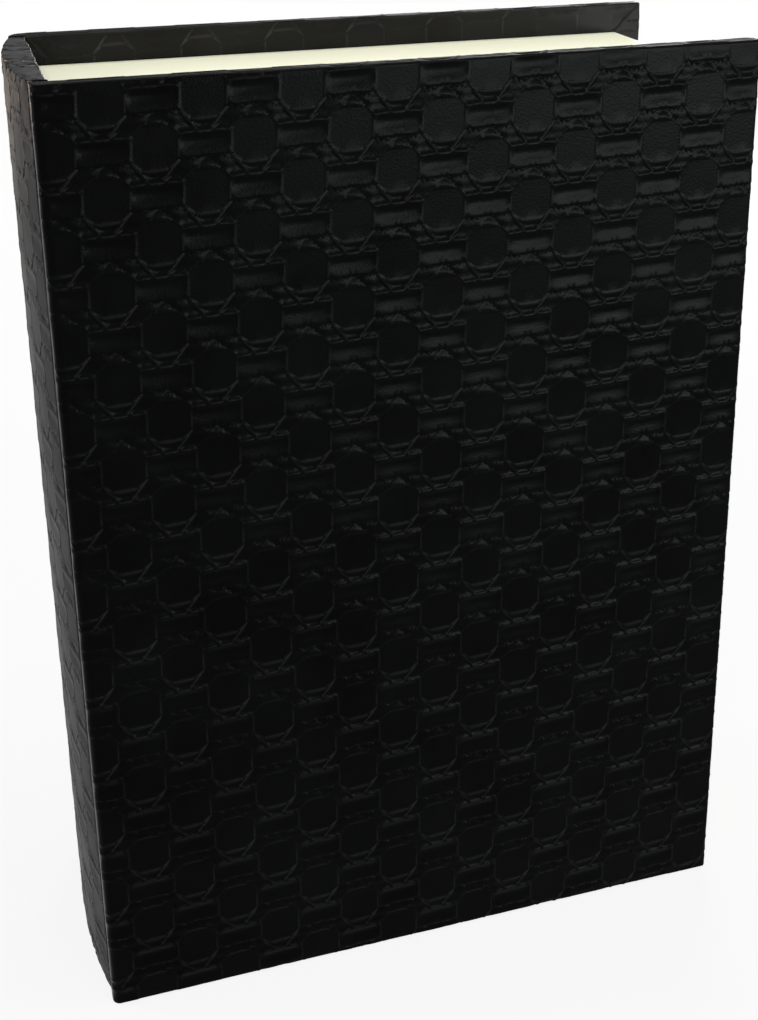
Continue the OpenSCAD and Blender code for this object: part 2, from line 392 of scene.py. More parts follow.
def split(rows, faces, along, level):
    """Cuts the triangles along the line along . (s, t) = level."""
    size = np.linalg.norm(along)
    n = np.array(along) / size
    d = rows[:, :2] @ n - level / size
    near = np.abs(d) < SNAP
    rows = rows.copy()
    rows[near, :2] -= d[near, None] * n
    d[near] = 0
    side = np.sign(d)
    crossed = (side[faces].min(1) < 0) & (side[faces].max(1) > 0)
    cut = faces[crossed]
    if not len(cut):
        return rows, faces
    edges = sides(cut)
    crossing = side[edges[:, 0]] * side[edges[:, 1]] < 0
    pairs, index = np.unique(np.sort(edges[crossing], 1), axis=0, return_inverse=True)
    f = (d[pairs[:, 0]] / (d[pairs[:, 0]] - d[pairs[:, 1]]))[:, None]
    new = rows[pairs[:, 0]] * (1 - f) + rows[pairs[:, 1]] * f
    # the new point on each side of each cut triangle, or -1
    mid = np.full(len(edges), -1)
    mid[crossing] = len(rows) + index.reshape(-1)
    mid = mid.reshape(3, -1).T
    parts = [faces[~crossed]]
    for k in range(3):
        a, b, c = cut[:, k], cut[:, (k + 1) % 3], cut[:, (k + 2) % 3]
        m, before = mid[:, k], mid[:, (k + 2) % 3]
        # either one side is cut and the line runs on through the opposite corner, or two are
        one = (m >= 0) & (mid[:, (k + 1) % 3] < 0) & (before < 0)
        two = (m >= 0) & (before >= 0)
        for corners, which in (((a, m, c), one), ((m, b, c), one), ((a, m, before), two),
                               ((m, b, c), two), ((m, c, before), two)):
            parts.append(np.stack(corners, 1)[which])
    return np.vstack([rows, new]), np.vstack(parts)


def past_edge(t):
    """Distance of the sheet past the start of its turn over the head or the tail edge."""
    return np.maximum(t - HEAD_Z, HEAD_R - t)


def cut_sheet(s_cuts, levels, b_end):
    """The sheet between its outermost s_cuts, cut there and, past the turns at both ends, at levels."""
    s_low, s_high = sorted((s_cuts[0], s_cuts[-1]))
    rows, faces = sheet(s_low, s_high, HEAD_R - b_end, HEAD_Z + b_end)
    for s in s_cuts:
        rows, faces = split(rows, faces, (1, 0), s)
    for b in levels:
        rows, faces = split(rows, faces, (0, 1), HEAD_Z + b)
        rows, faces = split(rows, faces, (0, 1), HEAD_R - b)
    return rows, faces


def walk(u, start, heading, outward, legs):
    """Points and outward normals at distances u along legs of (length, turn)."""
    points, normals = np.zeros((len(u), 2)), np.zeros((len(u), 2))
    x, y = start
    passed = 0.0
    for k, (length, turn) in enumerate(legs):
        low = -np.inf if k == 0 else passed
        high = np.inf if k == len(legs) - 1 else passed + length
        here = (u >= low) & (u < high)
        v = u[here] - passed
        angle = heading + turn * v / length
        if turn:
            r = length / turn
            cx, cy = x - r * math.sin(heading), y + r * math.cos(heading)
            points[here] = np.stack([cx + r * np.sin(angle), cy - r * np.cos(angle)], 1)
            heading += turn
            x, y = cx + r * math.sin(heading), cy - r * math.cos(heading)
        else:
            points[here] = np.stack([x + v * math.cos(heading), y + v * math.sin(heading)], 1)
            x, y = x + length * math.cos(heading), y + length * math.sin(heading)
        normals[here] = outward * np.stack([np.sin(angle), -np.cos(angle)], 1)
        passed += length
    return points, normals


def run(legs):
    """Length of all the legs."""
    return sum(length for length, _ in legs)


def stops(legs, arc_steps):
    """Distances at which the legs begin and end, with extra stops along each arc."""
    found, passed = [0], 0
    for length, turn in legs:
        n = max(1, round(abs(turn) / QUARTER * arc_steps))
        found += [passed + length * (k + 1) / n for k in range(n)]
        passed += length
    return found


def fold_legs(thick):
    """The way over the head edge: up, over, across and down inside."""
    return [(RUN_UP, 0), (FOLD, -QUARTER), (thick - 2 * HEAD_R, 0), (FOLD, -QUARTER),
            (TURN_IN - HEAD_R, 0)]


def over_head(t, thick):
    """The sheet over the head or the tail: its height, how far inwards, and its normal's out and up."""
    top = t > COVER_H / 2
    b = past_edge(t)
    p, n = walk(b + RUN_UP, (0, -RUN_UP), QUARTER, -1, fold_legs(thick))
    z = np.where(top, HEAD_Z + p[:, 1], HEAD_R - p[:, 1])
    flat = b < -1
    z = np.where(flat, t, z)
    inward = np.where(flat, 0, p[:, 0])
    out = np.where(flat, 1, -n[:, 0])
    up = np.where(flat, 0, n[:, 1]) * np.where(top, 1, -1)
    return z, inward, out, up


def add_object(name, data):
    obj = bpy.data.objects.new(name, data)
    scene.collection.objects.link(obj)
    return obj


def grow_mesh(name, points, faces, normals=None, skirt=0.0, values=None, finish=None):
    """Makes a mesh object and folds its open border inwards by skirt. values is the points' wear and painted
    highlight.
    """
    if skirt:
        edges = sides(faces)
        _, index, count = np.unique(np.sort(edges, 1), axis=0, return_inverse=True, return_counts=True)
        open_edge = count[index.reshape(-1)] == 1
        rim = edges[open_edge]
        rim_face = np.tile(np.arange(len(faces)), 3)[open_edge]
        ids, local = np.unique(rim, return_inverse=True)
        local = local.reshape(rim.shape) + len(points)
        points = np.vstack([points, points[ids] - normals[ids] * skirt])
        values = np.concatenate([values, values[ids] * 0])
        faces = np.vstack([faces, np.stack([rim[:, 1], rim[:, 0], local[:, 0]], 1),
                           np.stack([rim[:, 1], local[:, 0], local[:, 1]], 1)])
        finish = np.concatenate([finish, np.tile(finish[rim_face], 2)])
    mesh = bpy.data.meshes.new(name)
    mesh.vertices.add(len(points))
    mesh.vertices.foreach_set("co", metres(points).astype(np.float32).ravel())
    mesh.loops.add(faces.size)
    mesh.loops.foreach_set("vertex_index", faces.astype(np.int32).ravel())
    mesh.polygons.add(len(faces))
    mesh.polygons.foreach_set("loop_start", np.arange(0, faces.size, 3, dtype=np.int32))
    mesh.polygons.foreach_set("use_smooth", np.ones(len(faces), bool))
    if finish is not None:
        mesh.polygons.foreach_set("material_index", finish.astype(np.int32))
    mesh.update(calc_edges=True)
    mesh.validate()
    if values is not None:
        # the attribute holds the raised lines' wear and painted highlight
        layer = mesh.attributes.new("crest", "FLOAT", "POINT")
        layer.data.foreach_set("value", values.astype(np.float32))
    return add_object(name, mesh)


def edge_zone(along, start, end):
    """1 between start and end, and 0 a little outside."""
    return ease((along - start) / 2.4 + 1) * ease((end - along) / 2.0 + 1)


def emboss(name, rows, faces, points, normals, fade, plain, inner, finish):
    """Presses the pattern into a wrapped sheet and makes its object.

    The sheet is plain at its own level where fade is 0, and glued down inside where inner is 1.
    """
    high, wear_and_painted_highlight = relief(rows[:, 2], rows[:, 3])
    deep = fade * (1 - PRESSED * inner)
    high = deep * high + (1 - deep) * plain
    points = points + normals * (high - RELIEF)[:, None]
    return grow_mesh(name, points, faces, normals, SKIRT, wear_and_painted_highlight * fade, finish)


def board_sheet(name, s_face, start, heading, outward, spine_legs, spine_limit, flip):
    """Covering of one cover, from beside the spine to the border behind its fore edge.

    s_face is the sheet's s where the flat outer face begins. spine_legs lead there from start.
    spine_limit has pairs of a distance along the legs and how far the sheet goes over the head edge
    up to there. flip is for the back cover, where s runs against the legs.
    """
    turn = QUARTER * outward
    fore = FORE_R * QUARTER
    spine_r = spine_legs[-1][0] / QUARTER
    border = TURN_IN - FORE_R
    legs = spine_legs + [(COVER_W - spine_r - FORE_R, 0), (fore, turn), (COVER_T - 2 * FORE_R, 0),
                         (fore, turn), (border, 0)]
    lead, total = run(spine_legs), run(legs)
    u_in = total - border  # the border behind the fore edge begins here,
    u_fore = u_in - 2 * fore - (COVER_T - 2 * FORE_R)  # the turn over the fore edge here,
    b_in = 2 * FOLD + COVER_T - 2 * HEAD_R  # and the border below the head edge here
    b_end = b_in + TURN_IN - HEAD_R
    sign = -1 if flip else 1

    def to_s(u):
        return s_face + (u - lead) * sign

    def where(rows):
        """Distance along the legs and past the start of the turn over the head edge."""
        return (rows[:, 0] - s_face) * sign + lead, past_edge(rows[:, 1])

    limits = [FORE_R] + [limit for _, limit in spine_limit]
    levels = stops(fold_legs(COVER_T)[1:], FOLD_STEPS) + [FOLD + limit - HEAD_R for limit in limits]
    rows, faces = cut_sheet([to_s(u) for u in stops(legs, ARC_STEPS)], levels, b_end)
    # diagonal cuts where the borders meet in the corners
    for u0, b0 in ((u_fore, b_in), (u_in, 0)):
        reach = to_s(u0) * sign + b0
        rows, faces = split(rows, faces, (sign, 1), reach + COVER_H - HEAD_R)
        rows, faces = split(rows, faces, (sign, -1), reach - HEAD_R)

    u, b = where(rows[faces].mean(1))
    limit = np.full(len(u), b_end)
    for u_stop, w in reversed(spine_limit):
        limit[u < u_stop] = FOLD + w - HEAD_R
    limit[(u > u_fore) & (u < u_in)] = FOLD + FORE_R - HEAD_R
    u_face = spine_limit[-1][0]
    on_face = (u > u_face) & (u <= u_fore)
    keep = (u > 0) & (u < total) & (b < limit)
    keep &= ~(on_face & (b > b_in) & (u - u_fore > b_in - b))
    keep &= ~((u >= u_in) & (b > u_in - u))
    rows, faces = compact(rows, faces[keep])

    u, b = where(rows)
    plan, plan_out = walk(u, start, heading, outward, legs)
    z, inward, out, up = over_head(rows[:, 1], COVER_T)
    points = np.column_stack([plan - plan_out * inward[:, None], z])
    normals = np.column_stack([plan_out * out[:, None], up])

    # the pattern fades where one part of the sheet meets another
    seam = np.full(len(u), 9.0)
    past_fold = b > FOLD * .9
    over_side = (u < u_face) | ((u > u_fore) & (u < u_in))
    joint = spine_limit[0][0] if len(spine_limit) > 1 else -1
    diagonal = 1.414
    for here, distance in ((past_fold, np.abs(u - u_face)), (past_fold, np.abs(u - u_fore)),
                           (past_fold & over_side, 0),
                           ((b > b_in - 1) & (u < u_fore + 1), np.abs(u - u_fore + b - b_in) / diagonal),
                           (u > u_in - 1, np.abs(u - u_in + b) / diagonal),
                           (u < joint, 0), (u >= joint, np.abs(u - joint))):
        seam = np.where(here, np.minimum(seam, distance), seam)
    inner = np.maximum(ease((b - b_in) / .6), ease((u - u_in) / .6))
    edge = np.maximum.reduce([edge_zone(b, 0, b_in), edge_zone(u, u_fore, u_in),
                              edge_zone(u, joint, lead)])
    plain = np.where(u < joint + 2, JOINT_LEVEL, FACE_LEVEL + EDGE_LIFT * edge)
    fade = ease(seam / SEAM) * (1 - EDGE_SOFT * edge)

    u, b = u[faces].mean(1), b[faces].mean(1)
    turned_in = (u > u_in - fore / 2) | (b > b_in - FOLD / 2)
    finish = np.where(turned_in, INSIDE, np.where(b > FOLD * .4, AT_EDGE, OUTSIDE))
    return emboss(name, rows, faces, points, normals, fade, plain, inner, finish)


def front_leather():
    inside = FRONT_SPINE_R - HEAD_R
    legs = [(inside, 0), (FOLD, QUARTER), (COVER_T - HEAD_R - FRONT_SPINE_R, 0),
            (FRONT_SPINE_R * QUARTER, QUARTER)]
    return board_sheet("front_covering", FRONT_SPINE_R, (FRONT_SPINE_R, COVER_T), math.pi, 1, legs,
                       [(inside + FOLD, HEAD_R), (run(legs), FRONT_SPINE_R)], False)


# The spine's legs: from its inner face over the front corner, then along the arc
SPINE_TILT = math.asin((RIM_Y + HEAD_R - SPINE_C[1]) / -(SPINE_R - HEAD_R))
SPINE_END = math.asin((BACK_Y - SPINE_C[1]) / SPINE_R)
SPINE_CORNER_X = SPINE_C[0] - (SPINE_R - HEAD_R) * math.cos(SPINE_TILT)
SPINE_LEGS = [(SPINE_X - SPINE_CORNER_X, 0), (HEAD_R * (QUARTER - SPINE_TILT), SPINE_TILT - QUARTER),
              (SPINE_R * (SPINE_TILT + SPINE_END), -SPINE_TILT - SPINE_END)]
SPINE_U = run(SPINE_LEGS)
# the sheet's s at the start of the spine's legs, so that the pattern runs on over the joint
SPINE_S = FRONT_SPINE_R - FRONT_SPINE_R * QUARTER - (COVER_T - HEAD_R - FRONT_SPINE_R) - (
    RIM_Y + HEAD_R - (COVER_T - HEAD_R)) + SPINE_LEGS[0][0] + SPINE_LEGS[1][0]


def wrinkles(u, t):
    """Creases that run across the spine near its ends, in millimetres."""
    bend = 1.3 * np.sin(u * .17 + .8) + .8 * np.sin(u * .43 + t * .21)
    first = 1 - np.abs(np.sin(t * 1.02 + bend))
    second = 1 - np.abs(np.sin(t * .61 - 1.2 * bend + u * .12 + 1.0))
    return -.30 * first ** 3 - .22 * second ** 3


def puckers(u, b):
    """Small folds across the spine's ends, where the covering turns over the curved edge."""
    deep = 1 - np.abs(np.sin(u * .31 + 1.1 * np.sin(u * .23) + b * .12))
    faint = 1 - np.abs(np.sin(u * .57 - b * .2 + 1.0))
    return -(.36 * deep ** 4 + .12 * faint ** 4) * ease((b + 3.5) / 3)


def spine_leather():
    """Covering of the spine, over both ends and down inside."""
    flat = 5.5  # length of the sheet across the spine's end, before it is fitted to the curve
    b_in = 2 * FOLD + flat
    b_end = b_in + TURN_IN - HEAD_R
    legs = fold_legs(flat + 2 * HEAD_R)
    front = SPINE_LEGS[0][0] + SPINE_LEGS[1][0]

    def where(rows):
        """Distance along the spine's legs and past the start of the turn over the head edge."""
        return SPINE_S - rows[:, 0], past_edge(rows[:, 1])

    s_cuts = [SPINE_S - u for u in stops(SPINE_LEGS, ARC_STEPS)]
    rows, faces = cut_sheet(s_cuts, stops(legs[1:], FOLD_STEPS) + [FOLD], b_end)
    u, b = where(rows[faces].mean(1))
    keep = (u > 0) & (u < SPINE_U) & (b < np.where(u < front, FOLD, b_end))
    rows, faces = compact(rows, faces[keep])

    u, b = where(rows)
    plan, plan_out = walk(u, (SPINE_X, RIM_Y), math.pi, -1, SPINE_LEGS)
    z, inward, out, up = over_head(rows[:, 1], flat + 2 * HEAD_R)
    # across the end the sheet spans what the curve leaves there
    span = (SPINE_X - plan[:, 0] - 2 * HEAD_R) / flat
    body = u >= front - .01
    across = np.clip(inward - HEAD_R, 0, flat)
    inward = np.where(body, inward - across + across * span, inward)
    direction = np.where(body[:, None], np.array([-1.0, 0.0]), plan_out)
    swing = ease(b / FOLD)[:, None]
    swung = plan_out * (1 - swing) + direction * swing
    points = np.column_stack([plan - direction * inward[:, None], z])
    normals = np.column_stack([swung * out[:, None], up])
    normals /= np.linalg.norm(normals, axis=1)[:, None]

    edge = edge_zone(b, 0, b_in)
    plain = np.where(u < front + 2, JOINT_LEVEL, SPINE_LEVEL)
    plain = plain + wrinkles(u, rows[:, 1]) * ease((b + 16) / 14) + puckers(u, b)
    fade = ease(over(u - front) / SEAM) * SPINE_DEPTH * (1 - EDGE_SOFT * edge)
    finish = np.where(b[faces].mean(1) > b_in - FOLD / 2, INSIDE, OUTSIDE)
    return emboss("spine_covering", rows, faces, points, normals, fade, plain, ease((b - b_in) / .6), finish)


def back_leather():
    outer = BACK_SPINE_R * QUARTER
    side = COVER_T - BACK_SPINE_R
    return board_sheet("back_covering", SPINE_S - SPINE_U - side - outer, (0, BACK_Y), QUARTER, -1,
                       [(side, 0), (outer, -QUARTER)], [(side + outer, BACK_SPINE_R)], True)


# The other pieces: outlines drawn along y or z
def ripple(points, size, amount, seed):
    """Smooth seeded unevenness, one value for each point."""
    rng = np.random.default_rng(seed)
    value = np.zeros(len(points))
    for k in range(7):
        wave = rng.normal(size=3) / size
        value += np.sin(points @ wave * (1 + .35 * k) + rng.uniform(0, 6.28)) / (1 + .35 * k)
    return value * amount / 2.4


def tube(rings, axis, grid=0.0):
    """Skins outlines, given as (outline, level) along an axis, and closes both ends.

    grid spaces points inside the ends. The faces still have to be turned outwards.
    """
    n = len(rings[0][0])
    points = [np.insert(np.asarray(r, float), axis, v, axis=1) for r, v in rings]
    k = np.arange(n)
    faces = []
    for i in range(len(rings) - 1):
        a, b = i * n + k, i * n + (k + 1) % n
        faces += [np.stack([a, b, b + n], 1), np.stack([a, b + n, a + n], 1)]
    total = n * len(rings)
    for first in (0, len(rings) - 1):
        ring, level = np.asarray(rings[first][0], float), rings[first][1]
        extra = np.zeros((0, 2))
        if grid:
            low, high = ring.min(0) + grid * .6, ring.max(0) - grid * .6
            counts = np.maximum(2, ((high - low) / grid).astype(int))
            lines = [np.linspace(low[d], high[d], counts[d]) for d in (0, 1)]
            extra = np.stack(np.meshgrid(*lines), -1).reshape(-1, 2)
        cloud = np.vstack([ring, extra])
        ids = np.array(triangulate(cloud, [list(range(n))], 1, 1e-6))
        place = np.concatenate([first * n + k, total + np.arange(len(extra))])
        faces.append(place[ids])
        points.append(np.insert(extra, axis, level, axis=1))
        total += len(extra)
    return np.concatenate(points), np.concatenate(faces)


def closed_mesh(name, points, faces):
    """Makes a closed piece with all faces outwards."""
    obj = grow_mesh(name, points, faces)
    bm = bmesh.new()
    bm.from_mesh(obj.data)
    bmesh.ops.remove_doubles(bm, verts=bm.verts, dist=1e-7)
    bmesh.ops.recalc_face_normals(bm, faces=bm.faces)
    bm.to_mesh(obj.data)
    bm.free()
    return obj


def rectangle(x0, z0, x1, z1):
    return [(x0, z0), (x1, z0), (x1, z1), (x0, z1)]


def rounded(corners, radii, steps=4):
    """A closed outline with its corners rounded, by one radius or one for each corner."""
    out = []
    n = len(corners)
    for k, r in enumerate(np.broadcast_to(radii, n)):
        p = np.array(corners[k], float)
        a, b = np.array(corners[k - 1], float) - p, np.array(corners[(k + 1) % n], float) - p
        a, b = a / np.linalg.norm(a), b / np.linalg.norm(b)
        half = math.acos(np.clip(a @ b, -1, 1)) / 2
        if r <= 0:
            out.append(p)
            continue
        reach = r / math.tan(half)
        centre = p + (a + b) / np.linalg.norm(a + b) * r / math.sin(half)
        start, end = p + a * reach - centre, p + b * reach - centre
        for t in np.linspace(0, 1, steps + 1):
            d = start * (1 - t) + end * t
            out.append(centre + d / np.linalg.norm(d) * r)
    return out


def resample(loop, longest):
    """An outline anticlockwise, with points added so that no side is longer than longest."""
    out = []
    for k, p in enumerate(loop):
        q = np.asarray(loop[(k + 1) % len(loop)])
        n = max(1, math.ceil(np.linalg.norm(q - p) / longest))
        out += [p + (q - p) * i / n for i in range(n)]
    p, q = np.array(out), np.roll(out, -1, 0)
    return p if (p[:, 0] * q[:, 1] - q[:, 0] * p[:, 1]).sum() > 0 else p[::-1]


def inset(loop, amount):
    """Moves an anticlockwise outline's points inwards."""
    p = np.asarray(loop)
    along = np.roll(p, -1, 0) - np.roll(p, 1, 0)
    along /= np.linalg.norm(along, axis=1)[:, None]
    return p + np.stack([-along[:, 1], along[:, 0]], 1) * amount


def plate(name, corners, low, high, corner_r, edge):
    """A flat piece with soft edges: an outline in x and z, from low to high along y."""
    loop = resample(rounded(corners, corner_r), 6.0)
    # the first ring lies inside the soft edge, so that the shading of the flat face stays even
    levels, insets = [low], [edge + .06]
    for k in range(4):
        a = QUARTER * k / 3
        levels.append(low + edge * (1 - math.cos(a)))
        insets.append(edge * (1 - math.sin(a)))
    levels += [high + low - v for v in reversed(levels)]
    insets += insets[::-1]
    return closed_mesh(name, *tube([(inset(loop, i), v) for i, v in zip(insets, levels)], 1))


def hinge_strip():
    """Flexible leather between the front cover and the spine. Its inner side has the turned-in leather, whose
    lighter colour is painted light.
    """
    corners = [(.30, 4.95), (.75, 4.95), (.78, 5.44), (1.35, 5.56), (1.35, 6.24), (.78, 6.36),
               (.75, 6.85), (.30, 6.85)]
    loop = resample(rounded(corners, .08, 2), .14)
    ends, shrink, between_ends = [.35, .45, .7], [.06, .02, 0], 96
    levels = list(np.linspace(3, COVER_H - 3, between_ends))
    levels = ends + levels + [COVER_H - v for v in reversed(ends)]
    insets = shrink + [0] * between_ends + shrink[::-1]
    points, faces = tube([(inset(loop, i), v) for i, v in zip(insets, levels)], 2)
    points[:, 0] += ripple(points, 9.0, .06, 3)
    obj = closed_mesh("hinge_strip", points, faces)
    for face in obj.data.polygons:
        face.material_index = int(face.center.x > metres([.9, 0, 0])[0])
    return obj


def page_wrap():
    """Cream card bent round three sides of the tray."""
    outer = rectangle(SPINE_X, BLOCK_LOW, BLOCK_X, BLOCK_TOP)
    inner = rectangle(SPINE_X, BLOCK_LOW + PAGE_T, BLOCK_X - PAGE_T, BLOCK_TOP - PAGE_T)[::-1]
    loop = resample(rounded(outer, [0, 1.0, 1.0, 0], 6) + rounded(inner, [0, .6, .6, 0], 6), 5.0)
    levels = [RIM_Y + RIM_T] + list(np.linspace(RIM_Y + 3, BACK_Y - 3, 14)) + [BACK_Y]
    points, faces = tube([(loop, v) for v in levels], 1)
    # the card is a little uneven, and never outside its flat faces
    soft = np.abs(ripple(points, 26.0, .05, 5))
    from_middle = points[:, 2] - COVER_H / 2
    points[:, 2] -= np.where(np.abs(from_middle) > 120, np.sign(from_middle) * soft, 0)
    points[:, 0] -= np.where(points[:, 0] > 182, soft, 0)
    return closed_mesh("page_wrap", points, faces)


def rim_frame():
    """Cream card on three sides of the tray's rim."""
    x, low, top = IN_X1 - LAP, IN_Z0 + LAP, IN_Z1 - LAP
    corners = [(IN_X0, BLOCK_LOW), (BLOCK_X, BLOCK_LOW), (BLOCK_X, BLOCK_TOP), (IN_X0, BLOCK_TOP),
               (IN_X0, top), (x, top), (x, low), (IN_X0, low)]
    return plate("rim_frame", corners, RIM_Y, RIM_Y + RIM_T, [0, 1.0, 1.0, 0, 0, .8, .8, 0], .12)


def felt_ring(i):
    """The tray's inner outline moved inwards by i, always with the same number of points."""
    corners = rectangle(IN_X0 + i, IN_Z0 + i, IN_X1 - i, IN_Z1 - i)
    arcs = np.array(rounded(corners, .9, 4)).reshape(4, 5, 2)
    loop = []
    for k, count in enumerate((48, 70, 48, 70)):
        last, ahead = arcs[k][-1], arcs[(k + 1) % 4][0]
        loop += list(arcs[k]) + [last + (ahead - last) * j / count for j in range(1, count)]
    return np.array(loop)


def tray_felt():
    """Felt on the tray's floor and walls, soft in the corners."""
    corner = 2.0
    top = FLOOR_Y - FELT_T
    steps = [(.05, FLOOR_Y), (.05, 7.2), (.2, 7.05), (.55, 7.05), (FELT_T, 7.3)]
    steps += [(FELT_T, y) for y in np.linspace(10, top - corner, 16)]
    for k in range(1, 6):
        a = QUARTER * k / 5
        steps.append((FELT_T + corner * (1 - math.cos(a)), top - corner + corner * math.sin(a)))
    steps += [(FELT_T + corner + 1, top)]
    points, faces = tube([(felt_ring(i), y) for i, y in steps], 1, 4.0)
    inner = (points[:, 1] > 7.2) & (points[:, 1] < FLOOR_Y - .1)
    points += np.where(inner, ripple(points, 12.0, .09, 8), 0)[:, None] * np.array([.6, -1, .6])
    return closed_mesh("tray_felt", points, faces)


front = front_leather()
spine = spine_leather()
back = back_leather()
hinge = hinge_strip()
front_flap = plate("front_inner_hinge", rectangle(.55, 18, 18, 252), 4.9, 5.64, .3, .18)
spine_flap = plate("spine_inner_hinge", [(.62, 1.1), (5.2, 1.1), (5.2, 9.0), (14.3, 9.0), (14.3, 261),
                                         (5.2, 261), (5.2, 268.9), (.62, 268.9)], 6.16, 7.0, .3, .15)
lining = plate("cover_lining", rectangle(5, 5, 187, 265), 5.45, 5.9, .8, .15)
pages = page_wrap()
felt = tray_felt()
rim = rim_frame()


# Materials
def material(name, **constants):
    """A new material with one shader, whose constant sockets are set."""
    m = bpy.data.materials.new(name)
    m.use_nodes = True
    tree = m.node_tree
    tree.nodes.clear()
    shader = node(tree, "BsdfPrincipled", **constants)
    node(tree, "OutputMaterial", Surface=shader.outputs[0])
    return m, tree, shader


def node(tree, kind, **values):
    """Adds a node. Names are its sockets' (or i and a number), and with _ before them its own values'."""
    n = tree.nodes.new("ShaderNode" + kind)
    for key, value in values.items():
        if key.startswith("_"):
            setattr(n, key[1:], value)
            continue
        by_number = key[0] == "i" and key[1:].isdigit()
        socket = n.inputs[int(key[1:]) if by_number else key.replace("_", " ")]
        if isinstance(value, bpy.types.NodeSocket):
            tree.links.new(value, socket)
        else:
            socket.default_value = value
    return n


def place_in(tree):
    return node(tree, "TexCoord").outputs["Object"]


def maths(tree, operation, *values):
    inputs = {f"i{k}": value for k, value in enumerate(values)}
    return node(tree, "Math", _operation=operation, **inputs).outputs[0]


def spread(tree, value, low, high, to_low=0.0, to_high=1.0):
    """Takes values from low to high to values from to_low to to_high."""
    return node(tree, "MapRange", Value=value, From_Min=low, From_Max=high, To_Min=to_low,
                To_Max=to_high).outputs[0]


def noise(tree, where, scale, detail, roughness=.5):
    return node(tree, "TexNoise", Vector=where, Scale=scale, Detail=detail, Roughness=roughness).outputs["Fac"]


def blend_colours(tree, share, low, high):
    """Colour between low, which may be a socket, and high."""
    low = low if isinstance(low, bpy.types.NodeSocket) else (*low, 1)
    return node(tree, "Mix", _data_type="RGBA", i0=share, i6=low, i7=(*high, 1)).outputs[2]


def surface(tree, shader, colour, height, strength, distance):
    """Links the shader's colour, and its normal through a bump."""
    tree.links.new(colour, shader.inputs["Base Color"])
    bump = node(tree, "Bump", Strength=strength, Distance=distance, Height=height)
    tree.links.new(bump.outputs[0], shader.inputs["Normal"])


def leather_material(name, dark, light, wear_and_painted_highlight, level, rough):
    """Embossed leather: colour from dark to light in soft clouds, lighter along the raised lines as wear and
    painted highlight.
    """
    m, tree, shader = material(name, Specular_IOR_Level=level)
    where = place_in(tree)
    lines = node(tree, "Attribute", _attribute_name="crest").outputs["Fac"]
    cloud = noise(tree, where, 38.0, 4.0, .6)
    grain = node(tree, "TexVoronoi", Vector=where, Scale=1500.0, _feature="F1").outputs["Distance"]
    fine = noise(tree, where, 2600.0, 3.0)
    tint = node(tree, "ValToRGB", Fac=cloud)
    for element, position, colour in zip(tint.color_ramp.elements, (.3, .75), (dark, light)):
        element.position = position
        element.color = (*colour, 1)
    # lighter colour on the raised lines: wear, and a painted highlight
    wear_highlight_share = maths(tree, "MULTIPLY", lines, spread(tree, cloud, .35, .65, .6))
    uneven = spread(tree, cloud, .3, .7, rough - .04, rough + .04)
    tree.links.new(uneven, shader.inputs["Roughness"])
    height = maths(tree, "MULTIPLY_ADD", fine, .5, grain)
    surface(tree, shader, blend_colours(tree, wear_highlight_share, tint.outputs[0], wear_and_painted_highlight), height, .2, .0001)
    return m


def plain_material(name, colour, rough, low=.9, metallic=0.0):
    """One colour with soft clouds, low times as bright where they are darkest."""
    m, tree, shader = material(name, Roughness=rough, Metallic=metallic)
    where = place_in(tree)
    cloud, fine = noise(tree, where, 60.0, 5.0), noise(tree, where, 1800.0, 3.0)
    dark = tuple(c * low for c in colour)
    surface(tree, shader, blend_colours(tree, cloud, dark, colour), fine, .2, .0001)
    return m


def felt_material():
    """Black felt: matted fibres with a soft sheen."""
    m, tree, shader = material("felt_black", Roughness=.95, Specular_IOR_Level=.1, Sheen_Weight=.06,
                               Sheen_Roughness=.4)
    where = place_in(tree)
    bent = node(tree, "TexNoise", Vector=where, Scale=170.0, Detail=2.0).outputs["Color"]
    pulled = node(tree, "VectorMath", _operation="MULTIPLY_ADD", i0=bent, i1=[.012] * 3, i2=where).outputs[0]
    fibre = noise(tree, pulled, 1500.0, 6.0, .7)
    lint = node(tree, "TexVoronoi", Vector=pulled, Scale=420.0, _feature="DISTANCE_TO_EDGE")
    strand = spread(tree, lint.outputs["Distance"], 0.0, .06, 1.0, 0.0)
    tone = maths(tree, "MULTIPLY_ADD", strand, .3, spread(tree, fibre, .3, .7))
    height = maths(tree, "MULTIPLY_ADD", strand, .4, fibre)
    colour = blend_colours(tree, tone, (.004, .004, .0045), (.017, .017, .0185))
    surface(tree, shader, colour, height, .55, .0004)
    return m


def cloth_material():
    """Black book cloth: a plain weave, the threads along x and z."""
    m, tree, shader = material("cloth_black", Roughness=.75, Specular_IOR_Level=.12)
    where = place_in(tree)
    threads = [node(tree, "TexWave", Vector=where, Scale=400.0, Distortion=.6, Detail_Scale=.5,
                    _bands_direction=way).outputs["Fac"] for way in ("X", "Z")]
    weave = maths(tree, "MAXIMUM", *threads)
    tone = maths(tree, "MULTIPLY", weave, noise(tree, where, 45.0, 5.0))
    colour = blend_colours(tree, tone, (.0045, .0045, .005), (.024, .0235, .025))
    surface(tree, shader, colour, weave, .5, .00012)
    return m


# colours of the outer leather: darkest, lightest, and the raised lines' wear with painted highlight
BLACK = (.0005, .0005, .0006), (.0016, .0017, .0017), (.016, .0163, .0163)
LEATHER = leather_material("leather_black", *BLACK, .026, .3)
SPINE_LEATHER = leather_material("leather_spine", *BLACK, .02, .37)
# the inside leather: the outer leather made glossier and lighter, the lighter colour being painted light
TURNED_IN = leather_material("leather_turned_in", (.011, .011, .0102), (.021, .021, .0192),
                             (.06, .06, .056), .055, .38)
